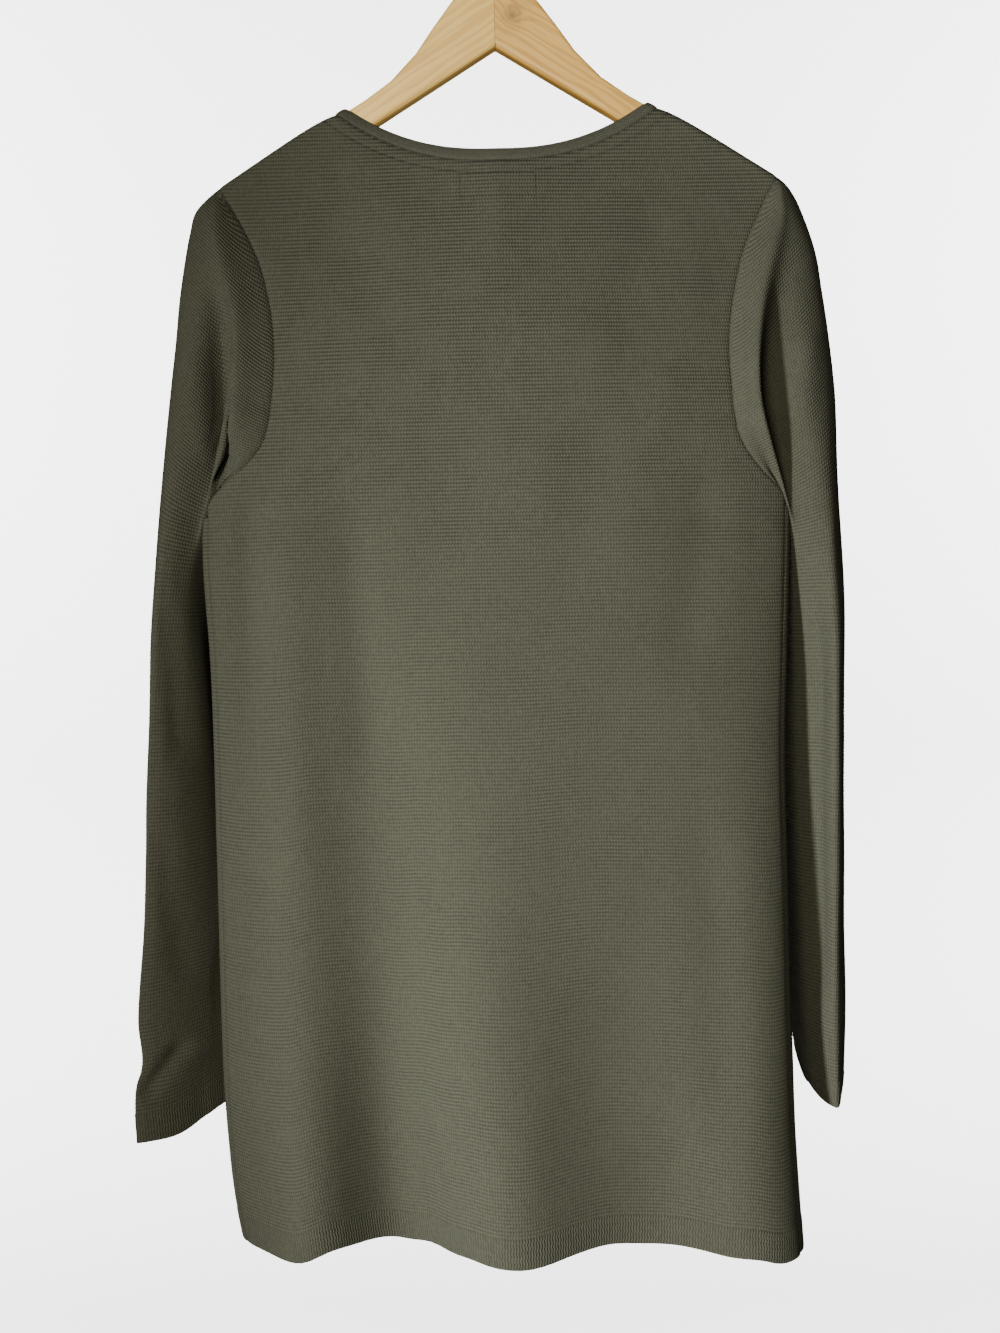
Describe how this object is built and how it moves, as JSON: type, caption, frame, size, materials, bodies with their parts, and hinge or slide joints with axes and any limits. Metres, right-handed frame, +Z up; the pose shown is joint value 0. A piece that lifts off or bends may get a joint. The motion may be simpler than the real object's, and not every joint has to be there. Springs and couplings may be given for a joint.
{
  "type": "cardigan on hanger",
  "caption": "Long plain olive knitted cardigan with long sleeves, open at the front, hanging on a flat pale wooden hanger with a metal hook",
  "frame": {"origin": "top of the inner curve of the hook, where the hanger rests on a rail", "axes": "+Z up, +Y towards the back of the cardigan, +X towards the wearer's left"},
  "size_m": [0.5272, 0.1588, 0.9662],
  "materials": {
    "back_panel": "matt fine knit",
    "front_left": "matt fine knit",
    "front_right": "matt fine knit",
    "sleeve_left": "matt fine knit",
    "sleeve_right": "matt fine knit",
    "neck_band": "matt smooth knit band",
    "hanger_arm_left": "smooth, clear lacquer",
    "hanger_arm_right": "smooth, clear lacquer",
    "hanger_hook": "polished"
  },
  "bodies": {
    "root": {"back_panel": "back_panel", "front_left": "front_left", "front_right": "front_right", "sleeve_left": "sleeve_left", "sleeve_right": "sleeve_right", "neck_band": "neck_band", "hanger_arm_left": "hanger_arm_left", "hanger_arm_right": "hanger_arm_right", "hanger_hook": "hanger_hook"}
  },
  "joints": []
}
